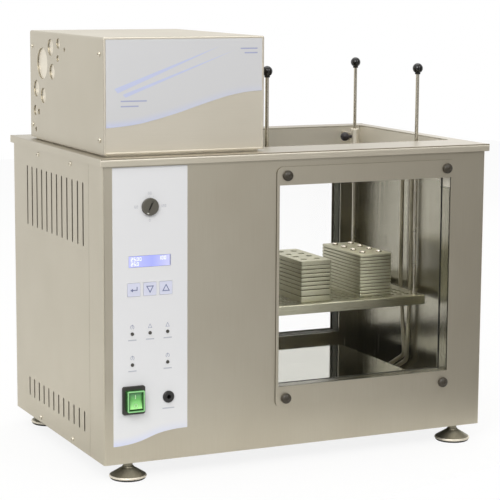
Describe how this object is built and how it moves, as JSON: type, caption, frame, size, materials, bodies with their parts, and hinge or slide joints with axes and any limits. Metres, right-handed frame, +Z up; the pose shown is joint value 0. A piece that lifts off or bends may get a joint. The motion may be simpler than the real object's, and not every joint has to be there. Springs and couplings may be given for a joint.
{
  "type": "visibility bath",
  "caption": "Bench bath with see-through front and rear windows, a control strip, a stirrer housing and a perforated shelf hung from rods.",
  "frame": {"origin": "on the floor, under the middle of the overall box", "axes": "X right, Y from the window side to the back, Z up"},
  "size_m": [0.6086, 0.412, 0.606],
  "materials": {
    "cabinet_sheet": "fine satin, warm",
    "tank_sheet": "satin, inside the bath",
    "bright_steel": "polished",
    "galvanised": "dull",
    "glass": "clear",
    "black_plastic": "matt black",
    "black_gloss": "gloss black",
    "label_print": "light grey printed film",
    "key_plastic": "pale blue-grey",
    "display": "lit display",
    "green_pale": "translucent pale green",
    "green_bright": "lit green",
    "lamp": "dark lens",
    "rubber": "soft black",
    "insulation": "closed-cell foam",
    "board": "green laminate",
    "cast_grey": "grey paint",
    "white_plastic": "white",
    "brass": "nickel free",
    "plate_light": "satin plates"
  },
  "bodies": {
    "cabinet": {"accessory_socket": "black_plastic", "back_panel": "cabinet_sheet", "base_plate": "galvanised", "case_screws": "bright_steel", "control_board": "board", "control_label": "label_print", "cooling_loop": "tank_sheet", "deck": "cabinet_sheet", "display_module": "display", "drain_fitting": "brass", "false_bottom": "tank_sheet", "flow_baffle": "tank_sheet", "foot_bushes": "galvanised", "front_panel": "cabinet_sheet", "front_window_plate": "tank_sheet", "head_back_plate": "cabinet_sheet", "head_base": "cabinet_sheet", "head_cover": "cabinet_sheet", "head_front_plate": "cabinet_sheet", "head_label": "label_print", "heater_clip": "white_plastic", "indicator_lamps": "lamp", "insulation": "insulation", "left_side_panel": "cabinet_sheet", "main_heater": "tank_sheet", "mains_inlet": "black_plastic", "rear_window_plate": "tank_sheet", "right_side_panel": "cabinet_sheet", "rocker_bezel": "black_plastic", "rocker_shroud": "green_pale", "rod_clamp": "tank_sheet", "safety_thermostat": "black_plastic", "side_heaters": "tank_sheet", "stirrer_motor": "cast_grey", "stirrer_support": "tank_sheet", "tank": "tank_sheet", "temperature_probe": "tank_sheet", "window_cap_nuts": "black_gloss", "window_gaskets": "rubber", "window_panes": "glass", "window_spacers": "tank_sheet", "window_tunnels": "tank_sheet"},
    "carrier": {"shelf": "tank_sheet", "lift_rods": "bright_steel", "ball_knobs": "black_gloss"},
    "left_stack": {"plate_stack_left": "plate_light"},
    "right_stack": {"plate_stack_right": "plate_light"},
    "key_enter": {"key_enter": "key_plastic"},
    "key_down": {"key_down": "key_plastic"},
    "key_up": {"key_up": "key_plastic"},
    "rocker": {"power_rocker": "green_bright"},
    "dial": {"safety_dial": "black_plastic"},
    "clamp_knob": {"clamp_knob": "black_gloss"},
    "stirrer": {"stirrer_shaft": "tank_sheet", "stirrer_propeller": "tank_sheet"},
    "foot_fl": {"foot_front_left": "galvanised"},
    "foot_fr": {"foot_front_right": "galvanised"},
    "foot_bl": {"foot_back_left": "galvanised"},
    "foot_br": {"foot_back_right": "galvanised"},
    "drain_plug": {"drain_plug": "brass"}
  },
  "joints": [
    {"name": "carrier_lift", "type": "slide", "parent": "cabinet", "child": "carrier", "axis": [0, 0, 1], "range_m": [-0.095, 0.2]},
    {"name": "left_stack_lift", "type": "slide", "parent": "carrier", "child": "left_stack", "axis": [0, 0, 1], "range_m": [0, 0.12]},
    {"name": "right_stack_lift", "type": "slide", "parent": "carrier", "child": "right_stack", "axis": [0, 0, 1], "range_m": [0, 0.12]},
    {"name": "key_enter_press", "type": "slide", "parent": "cabinet", "child": "key_enter", "axis": [0, 1, 0], "range_m": [0, 0.0008], "stiffness_N_per_m": 1500},
    {"name": "key_down_press", "type": "slide", "parent": "cabinet", "child": "key_down", "axis": [0, 1, 0], "range_m": [0, 0.0008], "stiffness_N_per_m": 1500},
    {"name": "key_up_press", "type": "slide", "parent": "cabinet", "child": "key_up", "axis": [0, 1, 0], "range_m": [0, 0.0008], "stiffness_N_per_m": 1500},
    {"name": "rocker_tilt", "type": "hinge", "parent": "cabinet", "child": "rocker", "pos_m": [-0.2575, -0.1985, 0.1125], "axis": [1, 0, 0], "range_deg": [0, 16]},
    {"name": "dial_turn", "type": "hinge", "parent": "cabinet", "child": "dial", "pos_m": [-0.2325, -0.192, 0.3786], "axis": [0, 1, 0], "range_deg": [0, 270]},
    {"name": "clamp_turn", "type": "hinge", "parent": "cabinet", "child": "clamp_knob", "pos_m": [0.2334, 0.1226, 0.43175], "axis": [1, 0, 0], "range_deg": [0, 180]},
    {"name": "stirrer_spin", "type": "hinge", "parent": "cabinet", "child": "stirrer", "pos_m": [-0.093, -0.04292, 0.4455], "axis": [0, 0, 1], "continuous": true},
    {"name": "foot_fl_level", "type": "slide", "parent": "cabinet", "child": "foot_fl", "axis": [0, 0, -1], "range_m": [0, 0.01]},
    {"name": "foot_fr_level", "type": "slide", "parent": "cabinet", "child": "foot_fr", "axis": [0, 0, -1], "range_m": [0, 0.01]},
    {"name": "foot_bl_level", "type": "slide", "parent": "cabinet", "child": "foot_bl", "axis": [0, 0, -1], "range_m": [0, 0.01]},
    {"name": "foot_br_level", "type": "slide", "parent": "cabinet", "child": "foot_br", "axis": [0, 0, -1], "range_m": [0, 0.01]},
    {"name": "drain_plug_out", "type": "slide", "parent": "cabinet", "child": "drain_plug", "axis": [0, 1, 0], "range_m": [0, 0.03]}
  ]
}
